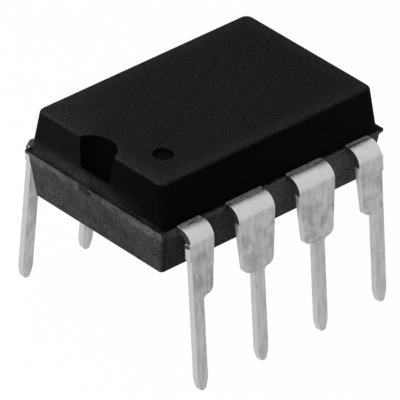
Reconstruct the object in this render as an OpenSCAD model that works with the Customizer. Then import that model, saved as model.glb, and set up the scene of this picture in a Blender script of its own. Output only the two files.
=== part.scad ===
// Eight-lead dual in-line package for through-hole boards, in millimetres.
// X runs along the body away from its notched end, Y across the two rows of leads, Z up.
// The origin is midway between the rows, on the plane that the lead tips stand on.

/* [Body] */
// Length of the top face
top_l = 8.88; // [8.2:0.01:8.9]
// Width of the top face
top_w = 5.86; // [5.4:0.01:5.9]
// Length of the upper half where it meets the parting plane
upper_l = 9.10; // [8.9:0.01:9.3]
// Width of the upper half where it meets the parting plane
upper_w = 6.28; // [6.0:0.01:6.4]
// Length of the lower half where it meets the parting plane
lower_l = 9.24; // [9.0:0.01:9.36]
// Width of the lower half where it meets the parting plane
lower_w = 6.32; // [6.0:0.01:6.4]
// Length of the underside
base_l = 8.90; // [8.4:0.01:9.1]
// Width of the underside
base_w = 5.94; // [5.4:0.01:6]
// Height of the moulding above the parting plane
upper_h = 1.52; // [1.3:0.01:1.8]
// Height of the moulding below the parting plane
lower_h = 1.69; // [1.4:0.01:1.9]
// Radius of the upright corners of the upper half
corner_r = 0.24; // [0.16:0.01:0.4]
// Radius of the upright corners of the lower half
lower_corner_r = 0.12; // [0.1:0.01:0.3]
// Radius round the top face
top_edge_r = 0.13; // [0.05:0.01:0.15]
// Radius round the underside
base_edge_r = 0.08; // [0.05:0.01:0.1]

/* [Parting flange] */
// How far the thin flange stands out of the lower half at the ends
flange_out_l = 0.08; // [0.02:0.01:0.15]
// How far the thin flange stands out of the lower half at the sides
flange_out_w = 0.05; // [0.02:0.01:0.12]
// Thickness of the flange
flange_t = 0.13; // [0.08:0.01:0.2]
// How far the moulding left between the leads stands out of the flange
web_out = 0.07; // [0.02:0.01:0.12]
// Gap between that moulding and the edge of a lead
web_gap = 0.06; // [0.03:0.01:0.2]

/* [Marks in the moulding] */
// Radius of the half-round notch at the top face
notch_r = 0.84; // [0.5:0.01:1.1]
// Radius of the notch at its floor
notch_floor_r = 0.72; // [0.5:0.01:1]
// Depth of the notch below the top face
notch_depth = 1.06; // [0.5:0.01:1.2]
// Sideways place of the notch
notch_y = 0.08; // [-0.3:0.01:0.3]
// Radius of the dot beside the first lead
dot_r = 0.34; // [0.2:0.01:0.5]
// Depth of the dot
dot_depth = 0.08; // [0.03:0.01:0.2]
// Distance of the dot's centre from the notched end of the top face
dot_from_end = 1.27; // [0.8:0.01:1.6]
// Distance of the dot's centre from the long side of the top face
dot_from_side = 1.35; // [0.8:0.01:1.8]
// Radius of the ejector marks on the underside
ejector_r = 0.6; // [0.3:0.01:1]
// Depth of the ejector marks
ejector_depth = 0.05; // [0.02:0.01:0.1]
// Distance between the two ejector marks
ejector_pitch = 5.08; // [3:0.01:6]

/* [Leads] */
// Leads in one row
row_leads = 4; // [4]
// Distance between leads in a row
pitch = 2.54; // [2.54]
// Distance between the outer faces of the two rows at the tips
tip_span = 8.64; // [8.4:0.01:9]
// Angle that the legs splay out by
splay = 5.2; // [3:0.1:7]
// Thickness of the lead metal
lead_t = 0.25; // [0.2:0.01:0.28]
// Width of a leg
leg_w = 0.44; // [0.38:0.01:0.56]
// Width of a shoulder at the bend
shoulder_w = 1.52; // [1.4:0.01:1.6]
// Width of a shoulder just above its lower corners
shoulder_low_w = 1.24; // [1.06:0.01:1.3]
// Height of the shoulder's underside above the tips
shoulder_z = 3.28; // [3.1:0.01:3.6]
// Radius of the shoulder's lower corners
shoulder_r = 0.23; // [0.1:0.01:0.28]
// Outside radius of the bend
bend_r = 0.50; // [0.4:0.01:0.6]
// Height of the tapered tip of a leg
tip_h = 0.45; // [0.2:0.01:0.8]
// Width of the flat end of a leg
tip_w = 0.20; // [0.1:0.01:0.36]
// How far the cut dam bar stands out of the end leads
stub_out = 0.06; // [0.05:0.01:0.2]
// Height of that stub's lower end above the tips
stub_z = 4.60; // [4.4:0.01:4.9]
// Length of that stub
stub_l = 0.62; // [0.3:0.01:0.7]
// Height of the body's underside above the tips
standoff = 3.91; // [3.85:0.01:4.2]

/* [Lead frame inside the moulding] */
// Length of the die pad
pad_l = 3.0; // [2.4:0.01:3.2]
// Width of the die pad
pad_w = 1.9; // [1.6:0.01:2.1]
// Width of the pad's two support bars
bar_w = 0.42; // [0.3:0.01:0.5]
// Sideways place of the support bars
bar_y = 0.42; // [0.3:0.01:0.5]
// Width of the inner fingers
finger_w = 0.50; // [0.4:0.01:0.6]
// Gap between a support bar and the end fingers beside it
bar_gap = 0.10; // [0.08:0.01:0.2]
// Gap between a finger's end and the die pad
finger_gap = 0.28; // [0.2:0.01:0.4]
// How far the full width of a shoulder reaches into the moulding
shoulder_inside = 0.60; // [0.4:0.01:0.7]

/* [Chip and bond wires] */
// Length of the die
die_l = 2.1; // [1.6:0.01:2.3]
// Width of the die
die_w = 1.4; // [1.2:0.01:1.55]
// Thickness of the die
die_t = 0.28; // [0.2:0.01:0.35]
// Thickness of the glue under the die
glue_t = 0.03; // [0.02:0.01:0.05]
// How far the glue shows round the die
glue_out = 0.06; // [0.02:0.01:0.1]
// Diameter of a bond wire
wire_d = 0.05; // [0.03:0.01:0.08]
// Height of a wire's loop
wire_loop = 0.32; // [0.2:0.01:0.4]
// Distance of a wire's foot from the edge of the die
wire_inset = 0.15; // [0.1:0.01:0.25]
// Distance of a wire's other foot from the end of its finger
wire_on_finger = 0.16; // [0.1:0.01:0.25]

/* [Hidden] */
LEADS = 2 * row_leads;

hull_fn = 32;
round_fn = 96;
wire_sides = 8;
wire_rings = 12;
// Cutting tools reach past the faces that they cut by this much
past = 1;
// The front view and the plan view of a lead overlap by this much, so that they join
view_overlap = 0.1;

parting_z = standoff + lower_h;
top_z = parting_z + upper_h;
lead_top = parting_z;
lead_low = lead_top - lead_t;
flange_l = lower_l + 2 * flange_out_l;
flange_w = lower_w + 2 * flange_out_w;
die_top = lead_top + glue_t + die_t;

// The bend's centre follows from where the tips stand and how far the legs splay
bend_z = lead_top - bend_r;
bend_u = tip_span / 2 - bend_r * cos(splay) - (bend_z + bend_r * sin(splay)) * tan(splay);

// The plan view shapes a lead out to the flange's face, or to its bend where that lies farther in
plan_to = min(flange_w / 2, bend_u);

// Where the shoulder turns into the inner finger, measured from the middle of the body
finger_root = upper_w / 2 - shoulder_inside;
finger_tip = pad_w / 2 + finger_gap;
end_finger_x = pad_l / 2 + finger_gap;
// Inner and outer edge of an end finger, beside the support bar
end_finger_low = bar_y + bar_w / 2 + bar_gap;
end_finger_high = end_finger_low + finger_w;

// Leads are numbered round the body from the dot: along the front row, back along the other
function lead_x(i) = ((i <= row_leads ? i : LEADS + 1 - i) - (row_leads + 1) / 2) * pitch;
function lead_side(i) = i <= row_leads ? -1 : 1;
function is_end(i) = i == 1 || i == row_leads || i == row_leads + 1 || i == LEADS;
// Which way the middle of the row lies from a lead
function inward(i) = lead_x(i) < 0 ? 1 : -1;

// One half of the moulding: drafted sides, round upright corners and a round edge on its face
module half_body(part_l, part_w, face_l, face_w, h, r, edge_r) {
    hull() {
        for (x = [-1, 1], y = [-1, 1]) {
            translate([x * (part_l / 2 - r), y * (part_w / 2 - r), 0])
                cylinder(r = r, h = h / 100, $fn = hull_fn);
            translate([x * (face_l / 2 - r), y * (face_w / 2 - r), h - edge_r])
                rounded_post(r, edge_r);
        }
    }
}

// A short post with a round upper edge, for the corners of a hull
module rounded_post(r, edge_r) {
    rotate_extrude($fn = hull_fn) {
        square([r - edge_r, edge_r]);
        translate([r - edge_r, 0]) intersection() {
            circle(r = edge_r, $fn = hull_fn);
            square(edge_r);
        }
    }
}

// Thin flange where the two halves of the mould met, wider between the leads
module parting_flange() {
    translate([-flange_l / 2, -flange_w / 2, parting_z - flange_t])
        cube([flange_l, flange_w, flange_t]);
    web_l = pitch - shoulder_w - 2 * web_gap;
    web_w = flange_w + 2 * web_out;
    for (i = [1:row_leads - 1])
        translate([lead_x(i) + (pitch - web_l) / 2, -web_w / 2, parting_z - flange_t])
            cube([web_l, web_w, flange_t]);
}

module body_solid() {
    translate([0, 0, parting_z])
        half_body(upper_l, upper_w, top_l, top_w, upper_h, corner_r, top_edge_r);
    translate([0, 0, parting_z])
        mirror([0, 0, 1])
            half_body(lower_l, lower_w, base_l, base_w, lower_h, lower_corner_r, base_edge_r);
    parting_flange();
}

// Tapered half-round notch, first-lead dot and the ejector marks
module body_marks() {
    notch_draft = (notch_r - notch_floor_r) / notch_depth;
    translate([-flange_l / 2, notch_y, top_z - notch_depth])
        cylinder(r1 = notch_floor_r, r2 = notch_r + notch_draft * past, h = notch_depth + past,
            $fn = round_fn);
    translate([-top_l / 2 + dot_from_end, -top_w / 2 + dot_from_side, top_z - dot_depth])
        cylinder(r = dot_r, h = dot_depth + past, $fn = round_fn);
    for (x = [-1, 1])
        translate([x * ejector_pitch / 2, 0, standoff - past])
            cylinder(r = ejector_r, h = past + ejector_depth, $fn = round_fn);
}

// The moulding is cast round everything that it holds
module moulded_body() {
    color("#232425") difference() {
        body_solid();
        body_marks();
        for (i = [1:LEADS]) {
            lead_solid(i);
            wire_solid(i);
        }
        pad_solid();
        glue_solid();
        die_solid();
    }
}

// Side view of a lead: flat through the wall, round the bend and down the splayed leg
module lead_side_view() {
    leg_l = (bend_z + bend_r * sin(splay)) / cos(splay);
    translate([0, lead_low]) square([bend_u, lead_t]);
    intersection() {
        union() {
            translate([bend_u, bend_z]) {
                intersection() {
                    difference() {
                        circle(r = bend_r, $fn = round_fn);
                        circle(r = bend_r - lead_t, $fn = round_fn);
                    }
                    polygon([[0, 0], [0, 2 * bend_r], [2 * bend_r, 2 * bend_r],
                        2 * bend_r * [cos(splay), sin(splay)]]);
                }
                rotate(splay) translate([bend_r - lead_t, -leg_l - past])
                    square([lead_t, leg_l + past]);
            }
        }
        square([tip_span, top_z]);
    }
}

// Front view of a lead: the shoulder, its round lower corners, the leg and its tapered tip
module lead_front_view() {
    leg = leg_w / 2;
    low = shoulder_low_w / 2;
    fillet = low - shoulder_r - leg;
    wide = shoulder_w / 2;
    corner_z = shoulder_z + shoulder_r;
    polygon([[-wide, top_z], [-wide, bend_z], [-low, corner_z], [low, corner_z], [wide, bend_z],
        [wide, top_z]]);
    translate([-low + shoulder_r, shoulder_z]) square([2 * (low - shoulder_r), shoulder_r]);
    for (side = [-1, 1]) {
        translate([side * (low - shoulder_r), corner_z])
            circle(r = shoulder_r, $fn = round_fn);
        difference() {
            translate([side > 0 ? 0 : -leg - fillet, shoulder_z - fillet])
                square([leg + fillet, fillet]);
            translate([side * (leg + fillet), shoulder_z - fillet])
                circle(r = fillet, $fn = round_fn);
        }
    }
    polygon([[-leg, shoulder_z], [-leg, tip_h], [-tip_w / 2, 0], [tip_w / 2, 0],
        [leg, tip_h], [leg, shoulder_z]]);
}

// An end lead is cut off square on its outer side, apart from the stub of the dam bar
module end_lead_front_view() {
    leg = leg_w / 2;
    difference() {
        lead_front_view();
        translate([-leg - shoulder_w, -past]) square([shoulder_w, top_z + 2 * past]);
    }
    polygon([[-leg, stub_z], [-leg - stub_out, stub_z + stub_out],
        [-leg - stub_out, stub_z + stub_l - stub_out], [-leg, stub_z + stub_l]]);
}

// Plan of an inner finger, from the body's middle line outwards
module mid_finger_plan() {
    half = finger_w / 2;
    root = shoulder_w / 2;
    polygon([[-half, finger_tip], [half, finger_tip], [half, finger_root - root + half],
        [root, finger_root], [root, tip_span], [-root, tip_span], [-root, finger_root],
        [-half, finger_root - root + half]]);
}

// An end finger leans over to the end of the die pad
module end_finger_plan() {
    root = shoulder_w / 2;
    outer = leg_w / 2;
    reach = -lead_x(1) - end_finger_x;
    polygon([[reach, end_finger_low], [reach, end_finger_high], [root, finger_root],
        [root, tip_span], [-outer, tip_span], [-outer, finger_root - finger_w / 2],
        [reach - finger_w, end_finger_low]]);
}

// One whole lead, with x = 0 on its own middle line and its row on the +Y side
module lead_blank(end) {
    wide = 2 * pitch;
    intersection() {
        rotate([90, 0, 90]) translate([0, 0, -wide / 2])
            linear_extrude(height = wide) lead_side_view();
        union() {
            translate([0, tip_span, 0]) rotate([90, 0, 0])
                linear_extrude(height = tip_span - plan_to + view_overlap)
                    if (end) end_lead_front_view(); else lead_front_view();
            translate([0, 0, lead_low - past]) intersection() {
                linear_extrude(height = lead_t + 2 * past)
                    if (end) end_finger_plan(); else mid_finger_plan();
                translate([-wide, 0, 0]) cube([2 * wide, plan_to, lead_t + 2 * past]);
            }
        }
    }
}

module lead_solid(i) {
    translate([lead_x(i), 0, 0])
        mirror([inward(i) < 0 ? 1 : 0, 0, 0])
            mirror([0, lead_side(i) < 0 ? 1 : 0, 0])
                lead_blank(is_end(i));
}

module lead(i) {
    color("#c9cacb") lead_solid(i);
}

// Die pad and the two bars that held it in its frame, cut off at the ends of the body
module pad_solid() {
    translate([-pad_l / 2, -pad_w / 2, lead_low]) cube([pad_l, pad_w, lead_t]);
    translate([-flange_l / 2, bar_y - bar_w / 2, lead_low]) cube([flange_l, bar_w, lead_t]);
}

module die_pad() {
    color("#b08d57") pad_solid();
}

module glue_solid() {
    translate([-die_l / 2 - glue_out, -die_w / 2 - glue_out, lead_top])
        cube([die_l + 2 * glue_out, die_w + 2 * glue_out, glue_t]);
}

module die_attach() {
    color("#9a9a90") glue_solid();
}

module die_solid() {
    translate([-die_l / 2, -die_w / 2, lead_top + glue_t]) cube([die_l, die_w, die_t]);
}

module die() {
    color("#4b5563") die_solid();
}

// Feet of a wire: one near the edge of the die, one near the end of the finger
function die_foot(i) = [sign(lead_x(i)) * (is_end(i) ? die_l / 2 - wire_inset : die_l / 4),
    lead_side(i) * (die_w / 2 - wire_inset * (is_end(i) ? 2 : 1)), die_top];
function finger_foot(i) = is_end(i)
    ? [sign(lead_x(i)) * (end_finger_x + wire_on_finger),
        lead_side(i) * (end_finger_low + finger_w / 2), lead_top]
    : [lead_x(i), lead_side(i) * (finger_tip + wire_on_finger), lead_top];

// A wire is half an ellipse that leaves both of its feet upright
function wire_point(a, b, t) = a + (b - a) * (1 - cos(t)) / 2 + [0, 0, wire_loop * sin(t)];
function wire_slope(a, b, t) = (b - a) * sin(t) / 2 + [0, 0, wire_loop * cos(t)];
function unit(v) = v / norm(v);

module swept_wire(a, b) {
    across = unit([a.y - b.y, b.x - a.x, 0]);
    points = [for (k = [0:wire_rings], s = [0:wire_sides - 1])
        let (t = 180 * k / wire_rings, side = 360 * s / wire_sides,
            out = unit(cross(across, wire_slope(a, b, t))))
        wire_point(a, b, t) + wire_d / 2 * (cos(side) * across + sin(side) * out)];
    walls = [for (k = [0:wire_rings - 1], s = [0:wire_sides - 1])
        let (row = k * wire_sides, next = (s + 1) % wire_sides)
        [row + s, row + wire_sides + s, row + wire_sides + next, row + next]];
    first = [for (s = [0:wire_sides - 1]) s];
    last = [for (s = [wire_sides - 1:-1:0]) wire_rings * wire_sides + s];
    polyhedron(points = points, faces = concat(walls, [first], [last]), convexity = 4);
}

module wire_solid(i) {
    swept_wire(die_foot(i), finger_foot(i));
}

module bond_wire(i) {
    color("#d9b44a") wire_solid(i);
}

moulded_body();
for (i = [1:LEADS]) lead(i);
die_pad();
die_attach();
die();
for (i = [1:LEADS]) bond_wire(i);
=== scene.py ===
"""Looks of an eight-lead dual in-line package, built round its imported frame.

Sizes in the classes are in millimetres and in the frame's own axes: X along the body away from
its notched end, Y across it, Z up from the lead tips. Meshes are made in metres.
"""

from __future__ import annotations

import logging
import math
from dataclasses import dataclass, field
from enum import Enum
from typing import Callable, NamedTuple, Sequence, Union

import bmesh
import bpy
from bpy.types import Material, Mesh, Node, NodeSocket, NodeTree, Object, World
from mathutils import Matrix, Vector, noise


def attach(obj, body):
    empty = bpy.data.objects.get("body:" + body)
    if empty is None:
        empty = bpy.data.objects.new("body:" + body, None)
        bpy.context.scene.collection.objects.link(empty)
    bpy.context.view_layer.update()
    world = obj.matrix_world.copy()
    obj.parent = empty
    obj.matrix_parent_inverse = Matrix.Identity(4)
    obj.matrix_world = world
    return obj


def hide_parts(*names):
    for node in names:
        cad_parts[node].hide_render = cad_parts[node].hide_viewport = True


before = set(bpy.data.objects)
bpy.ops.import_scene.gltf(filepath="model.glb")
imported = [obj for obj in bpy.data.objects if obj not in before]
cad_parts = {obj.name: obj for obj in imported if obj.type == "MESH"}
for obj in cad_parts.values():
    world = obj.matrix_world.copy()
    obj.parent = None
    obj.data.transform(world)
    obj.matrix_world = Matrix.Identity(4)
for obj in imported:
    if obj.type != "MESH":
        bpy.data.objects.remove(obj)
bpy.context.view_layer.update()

LOG = logging.getLogger("dual_in_line_package")
MM = 0.001
SAME_PLACE = 1e-5 * MM
SHARP_ANGLE = 32.0
PITCH = 2.54
ROOT = "root"

Colour = tuple[float, float, float]
Span = tuple[float, float]
Number = Union[float, "Field"]
WHITE: Colour = (1.0, 1.0, 1.0)


class Row(Enum):
    """The two rows of leads, with the way that each looks along Y."""

    NEAR = -1
    FAR = 1


class Slot(Enum):
    """Names of the record's material slots for the moulding and the leads."""

    EPOXY = "epoxy_moulding"
    TIN = "tin_plated_lead"


def joined_by(operation: str, swapped: bool = False) -> Callable[["Field", Number], "Field"]:
    """Make an operator of Field that adds a Math node.

    Args:
        operation: What the node does.
        swapped: Whether the field is its second number.

    Returns:
        The operator.
    """
    def apply(first: "Field", second: Number) -> "Field":
        """Return the two numbers, joined."""
        pair = (second, first) if swapped else (first, second)
        return first.graph.math(operation, *pair)
    return apply


@dataclass
class Field:
    """A number that varies over a surface, as an output of a node tree.

    Args:
        graph: The tree that holds the number.
        socket: The output socket that gives it.
    """

    graph: "Graph"
    socket: NodeSocket

    __add__ = joined_by("ADD")
    __radd__ = joined_by("ADD", swapped=True)
    __sub__ = joined_by("SUBTRACT")
    __rsub__ = joined_by("SUBTRACT", swapped=True)
    __mul__ = joined_by("MULTIPLY")
    __rmul__ = joined_by("MULTIPLY", swapped=True)
    __truediv__ = joined_by("DIVIDE")

    def __abs__(self) -> "Field":
        """Return the number without its sign."""
        return self.graph.math("ABSOLUTE", self)


class Graph:
    """A node tree with short calls for adding and joining its nodes."""

    def __init__(self, tree: NodeTree) -> None:
        """Wrap a node tree.

        Args:
            tree: The tree that new nodes go into.
        """
        self.tree = tree

    def add(self, kind: str, inputs: dict[Union[str, int], object] | None = None,
            **settings: object) -> Node:
        """Add a node.

        Args:
            kind: Blender's name for the kind of node.
            inputs: Value, socket or field for each input, by name or number.
            settings: Attributes of the node, set before its inputs.

        Returns:
            The new node.
        """
        node = self.tree.nodes.new(kind)
        for name, value in settings.items():
            setattr(node, name, value)
        for key, value in (inputs or {}).items():
            self.feed(node.inputs[key], value)
        return node

    def feed(self, socket: NodeSocket, value: object) -> None:
        """Join an output to an input, or set the input's own value.

        Args:
            socket: The input.
            value: A field, an output socket or a plain value.
        """
        if isinstance(value, Field):
            self.tree.links.new(value.socket, socket)
        elif isinstance(value, NodeSocket):
            self.tree.links.new(value, socket)
        else:
            socket.default_value = value

    def math(self, operation: str, *values: Number) -> Field:
        """Return the result of a Math node on one to three numbers."""
        node = self.add("ShaderNodeMath", dict(enumerate(values)), operation=operation)
        return Field(self, node.outputs[0])

    def step(self, value: Number, low: Number, high: Number) -> Field:
        """Add a smooth step from 0 to 1.

        Args:
            value: The number that it follows.
            low: Where it is still 0.
            high: Where it has reached 1.

        Returns:
            The step.
        """
        inputs = {"Value": value, "From Min": low, "From Max": high}
        node = self.add("ShaderNodeMapRange", inputs, interpolation_type="SMOOTHSTEP")
        return Field(self, node.outputs[0])

    def window(self, value: Number, low: float, high: float, soft: float) -> Field:
        """Add a window that is 1 between two values.

        Args:
            value: The number that it follows.
            low: Its lower end.
            high: Its upper end.
            soft: How far past each end it fades to 0.

        Returns:
            The window.
        """
        rise = self.step(value, low - soft, low)
        return rise * (1.0 - self.step(value, high, high + soft))

    def hold(self, value: Number, low: Number, high: Number) -> Field:
        """Return the value, held between two limits."""
        return self.math("MINIMUM", self.math("MAXIMUM", value, low), high)

    def arc(self, radius: Field, offset: Field) -> Field:
        """Return how far an arc reaches at an offset from its centre."""
        return self.math("SQRT", self.math("MAXIMUM", radius * radius - offset * offset, 0.0))

    def coats(self, colour: object, *layers: tuple[Number, Colour]) -> NodeSocket:
        """Lay colours over one another, each by its own mask.

        Args:
            colour: The colour underneath.
            layers: Mask and colour of each layer, from the lowest up.

        Returns:
            The colour that shows.
        """
        for mask, paint in layers:
            inputs = {0: mask, 6: colour, 7: rgba(paint)}
            colour = self.add("ShaderNodeMix", inputs, data_type="RGBA").outputs[2]
        return colour

    def blend(self, factor: Number, first: Node, second: Node) -> Node:
        """Return a shader that goes from the first at 0 to the second at 1."""
        return self.add("ShaderNodeMixShader", {0: factor, 1: first.outputs[0], 2: second.outputs[0]})

    def place(self, x: Number, y: Number, z: Number) -> NodeSocket:
        """Return a vector made of three numbers."""
        return self.add("ShaderNodeCombineXYZ", {0: x, 1: y, 2: z}).outputs[0]

    def parts(self, vector: NodeSocket) -> tuple[Field, Field, Field]:
        """Return the three numbers of a vector."""
        node = self.add("ShaderNodeSeparateXYZ", {0: vector})
        return tuple(Field(self, output) for output in node.outputs)


def cleared(owner: Union[Material, World]) -> Graph:
    """Empty the node tree of a material or a world.

    Args:
        owner: The material or the world.

    Returns:
        Its node tree.
    """
    owner.use_nodes = True
    owner.node_tree.nodes.clear()
    return Graph(owner.node_tree)


def rgba(colour: Colour) -> tuple[float, float, float, float]:
    """Return an opaque colour."""
    return (*colour, 1.0)


def quarter_turn(steps: int) -> list[float]:
    """Return the angles of a quarter turn in even steps, with both its ends."""
    return [math.radians(90 * k / steps) for k in range(steps + 1)]


def new_object(name: str, mesh: Mesh) -> Object:
    """Add an object at the origin.

    Args:
        name: Its name.
        mesh: The mesh that it shows.

    Returns:
        The object.
    """
    obj = bpy.data.objects.new(name, mesh)
    bpy.context.scene.collection.objects.link(obj)
    return obj


def mesh_from(name: str, points: Sequence[Vector], faces: Sequence[Sequence[int]]) -> Mesh:
    """Make a tidied mesh.

    Args:
        name: Its name.
        points: Its points, in millimetres.
        faces: Numbers of the points round each face.

    Returns:
        The mesh.
    """
    mesh = bpy.data.meshes.new(name)
    mesh.from_pydata([Vector(point) * MM for point in points], [], faces)
    tidy_mesh(mesh)
    return mesh


def tidy_mesh(mesh: Mesh, sharp_angle: float = SHARP_ANGLE) -> None:
    """Merge doubles, point the faces outwards and shade smoothly up to an angle.

    Args:
        mesh: The mesh to tidy.
        sharp_angle: Edges sharper than this many degrees stay crisp.
    """
    work = bmesh.new()
    work.from_mesh(mesh)
    bmesh.ops.remove_doubles(work, verts=work.verts, dist=SAME_PLACE)
    bmesh.ops.dissolve_degenerate(work, edges=work.edges, dist=SAME_PLACE)
    bmesh.ops.recalc_face_normals(work, faces=work.faces)
    work.to_mesh(mesh)
    work.free()
    mesh.shade_smooth()
    mesh.set_sharp_from_angle(angle=math.radians(sharp_angle))


def applied_mesh(obj: Object, name: str) -> Mesh:
    """Take the mesh that an object's modifiers make, and remove them.

    Args:
        obj: The object.
        name: The new mesh's name.

    Returns:
        A plain mesh of its own.
    """
    graph = bpy.context.evaluated_depsgraph_get()
    mesh = bpy.data.meshes.new_from_object(obj.evaluated_get(graph), depsgraph=graph)
    mesh.name = name
    obj.modifiers.clear()
    return mesh


def new_tree(kind: str, name: str, inputs: Sequence[str],
             outputs: Sequence[str]) -> tuple[Graph, dict[str, Field]]:
    """Start a node group with number inputs.

    Args:
        kind: Blender's name for the kind of tree.
        name: The group's name.
        inputs: Names of its inputs. One called Vector is a vector.
        outputs: Names of its outputs. One called Geometry is a geometry.

    Returns:
        The group as a graph, and its inputs by name.
    """
    tree = bpy.data.node_groups.new(name, kind)
    for keys, in_out in ((inputs, "INPUT"), (outputs, "OUTPUT")):
        for key in keys:
            sort = key if key in ("Vector", "Geometry") else "Float"
            tree.interface.new_socket(key, in_out=in_out, socket_type=f"NodeSocket{sort}")
    graph = Graph(tree)
    source = graph.add("NodeGroupInput")
    return graph, {key: Field(graph, source.outputs[key]) for key in inputs}


def end_geometry(graph: Graph, made: Node, material: Material) -> NodeTree:
    """Realize what a tree has made, paint it and put it out.

    Args:
        graph: The tree under construction.
        made: The node that gives the geometry.
        material: The material that it gets.

    Returns:
        The finished tree.
    """
    real = graph.add("GeometryNodeRealizeInstances", {"Geometry": made.outputs[0]})
    painted = graph.add("GeometryNodeSetMaterial", {"Geometry": real.outputs[0],
                                                    "Material": material})
    graph.add("NodeGroupOutput", {0: painted.outputs[0]})
    return graph.tree


def grown_mesh(name: str, tree: NodeTree, values: dict[str, float],
               sharp_angle: float = SHARP_ANGLE) -> Mesh:
    """Make a mesh with a Geometry Nodes tree.

    Args:
        name: The mesh's name.
        tree: The tree.
        values: Its inputs by name, lengths in metres.
        sharp_angle: Edges sharper than this many degrees stay crisp.

    Returns:
        The tidied mesh.
    """
    blank = new_object("blank", bpy.data.meshes.new("blank"))
    modifier = blank.modifiers.new(name, "NODES")
    modifier.node_group = tree
    for item in tree.interface.items_tree:
        if item.in_out == "INPUT":
            modifier[item.identifier] = values[item.name]
    mesh = applied_mesh(blank, name)
    bpy.data.objects.remove(blank)
    tidy_mesh(mesh, sharp_angle)
    return mesh


def dress(obj: Object, material: Material) -> None:
    """Give a new piece its finish and let it ride on the body.

    Args:
        obj: The piece.
        material: Its material.
    """
    obj.data.materials.clear()
    obj.data.materials.append(material)
    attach(obj, ROOT)
    LOG.info("%s: %d faces", obj.name, len(obj.data.polygons))


def repaint(node: str, material: Material) -> None:
    """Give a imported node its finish, and leave its mesh as it is.

    Args:
        node: The node's name.
        material: Its material.
    """
    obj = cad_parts[node]
    if not obj.material_slots:
        obj.data.materials.append(material)
    for material_slot in obj.material_slots:
        material_slot.material = material
    LOG.info("%s: repainted", node)


def cloud(graph: Graph, vector: object, scale: Number, detail: float,
          roughness: float = 0.6) -> Field:
    """Add soft random clouds.

    Args:
        graph: The tree under construction.
        vector: Where the clouds are looked up.
        scale: Clouds per unit of length.
        detail: Layers of finer clouds.
        roughness: Strength of the finer ones.

    Returns:
        The clouds, between 0 and 1.
    """
    inputs = {"Vector": vector, "Scale": scale, "Detail": detail, "Roughness": roughness}
    return Field(graph, graph.add("ShaderNodeTexNoise", inputs).outputs["Fac"])


def grain_group() -> NodeTree:
    """Build the shader group for a fine grain.

    Returns:
        A group with a height for bump and a mask of speckles.
    """
    graph, given = new_tree("ShaderNodeTree", "Fine grain", ["Vector", "Per millimetre", "Pits"],
                            ["Height", "Speckle"])
    vector = given["Vector"]
    coarse = cloud(graph, vector, given["Per millimetre"], 3.0)
    fine = cloud(graph, vector, given["Per millimetre"] * 3.7, 2.0)
    pits = graph.add("ShaderNodeTexVoronoi",
                     {"Vector": vector, "Scale": given["Per millimetre"] * 1.6})
    pit = graph.step(Field(graph, pits.outputs["Distance"]), 0.05, 0.35)
    graph.add("NodeGroupOutput", {
        "Height": coarse * 0.55 + fine * 0.3 + pit * given["Pits"],
        "Speckle": graph.step(coarse * 0.6 + fine * 0.4, 0.36, 0.64)})
    return graph.tree


def mottle_group() -> NodeTree:
    """Build the shader group for uneven patches and drawn streaks.

    Returns:
        A group with a mask of patches and one of streaks that run along Z.
    """
    graph, given = new_tree("ShaderNodeTree", "Mottle",
                            ["Vector", "Patches per millimetre", "Streaks per millimetre", "Draw",
                             "Softness"], ["Patch", "Streak"])
    x, y, z = graph.parts(given["Vector"].socket)
    patch = cloud(graph, given["Vector"], given["Patches per millimetre"], 4.0)
    drawn = graph.place(x, y, z * given["Draw"])
    streak = cloud(graph, drawn, given["Streaks per millimetre"], 3.0)
    low = 0.5 - given["Softness"]
    high = 0.5 + given["Softness"]
    graph.add("NodeGroupOutput", {"Patch": graph.step(patch, low, high),
                                  "Streak": graph.step(streak, low, high)})
    return graph.tree


@dataclass
class SurfaceGroups:
    """The shader groups that the finishes share."""

    grain: NodeTree = field(default_factory=grain_group)
    mottle: NodeTree = field(default_factory=mottle_group)


class Surface:
    """A material under construction, with its shader and its place in millimetres."""

    def __init__(self, name: str, constants: dict[str, object]) -> None:
        """Start a material.

        Args:
            name: Its name.
            constants: Values set on the shader's own sockets.
        """
        self.material = bpy.data.materials.new(name)
        self.graph = cleared(self.material)
        self.shader = self.graph.add("ShaderNodeBsdfPrincipled", constants)
        self.graph.add("ShaderNodeOutputMaterial", {"Surface": self.shader.outputs[0]})
        coordinates = self.graph.add("ShaderNodeTexCoord")
        scaled = self.graph.add("ShaderNodeVectorMath", {
            0: coordinates.outputs["Object"], "Scale": 1.0 / MM}, operation="SCALE")
        self.vector = scaled.outputs[0]
        self.x, self.y, self.z = self.graph.parts(self.vector)
        self.facing = self.graph.parts(coordinates.outputs["Normal"])

    def group(self, tree: NodeTree, **values: float) -> dict[str, Field]:
        """Place a shared group.

        Args:
            tree: The group.
            values: Its inputs, with _ for each space.

        Returns:
            Its outputs by name.
        """
        inputs = {key.replace("_", " "): value for key, value in values.items()}
        node = self.graph.add("ShaderNodeGroup", {"Vector": self.vector, **inputs}, node_tree=tree)
        return {output.name: Field(self.graph, output) for output in node.outputs}

    def bump(self, height: Field, depth: float) -> None:
        """Feed the shader's normal from a height.

        Args:
            height: The height, from 0 to about 1.
            depth: The depth in millimetres that 1 stands for.
        """
        node = self.graph.add("ShaderNodeBump", {"Strength": 1.0, "Distance": depth * MM,
                                                 "Height": height})
        self.graph.feed(self.shader.inputs["Normal"], node.outputs[0])

    def finish(self, colour: object, roughness: Number) -> Material:
        """Feed the colour and the roughness.

        Args:
            colour: The base colour.
            roughness: The roughness.

        Returns:
            The finished material.
        """
        self.graph.feed(self.shader.inputs["Base Color"], colour)
        self.graph.feed(self.shader.inputs["Roughness"], roughness)
        return self.material


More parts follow.
